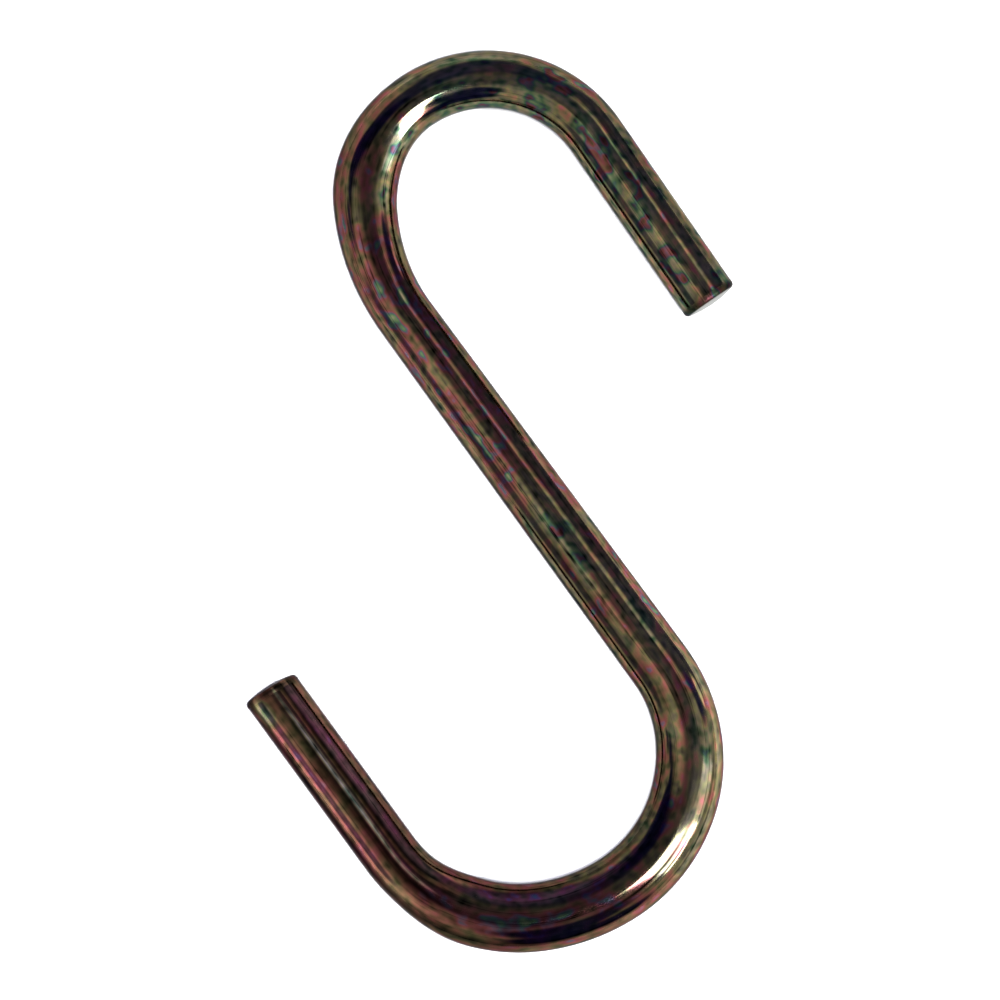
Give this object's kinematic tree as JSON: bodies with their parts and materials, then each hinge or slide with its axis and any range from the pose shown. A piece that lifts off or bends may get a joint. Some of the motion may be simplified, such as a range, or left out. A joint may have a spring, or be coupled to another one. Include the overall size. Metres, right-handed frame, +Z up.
{
  "type": "s hook",
  "caption": "Open s hook bent from one length of round plated wire, with a small hook at one end and a larger hook at the other end of a straight shank.",
  "frame": {"origin": "middle of the hook's bounding box in plan, on the surface that it lies on", "axes": "+Y along the shank towards the small hook, +X towards the small hook's leg, +Z up from the surface"},
  "size_m": [0.0706, 0.0892, 0.0064],
  "materials": {
    "plated_wire": "dark glossy yellow zinc plating with green, red and purple tints"
  },
  "bodies": {
    "root": {"hook": "plated_wire"}
  },
  "joints": []
}
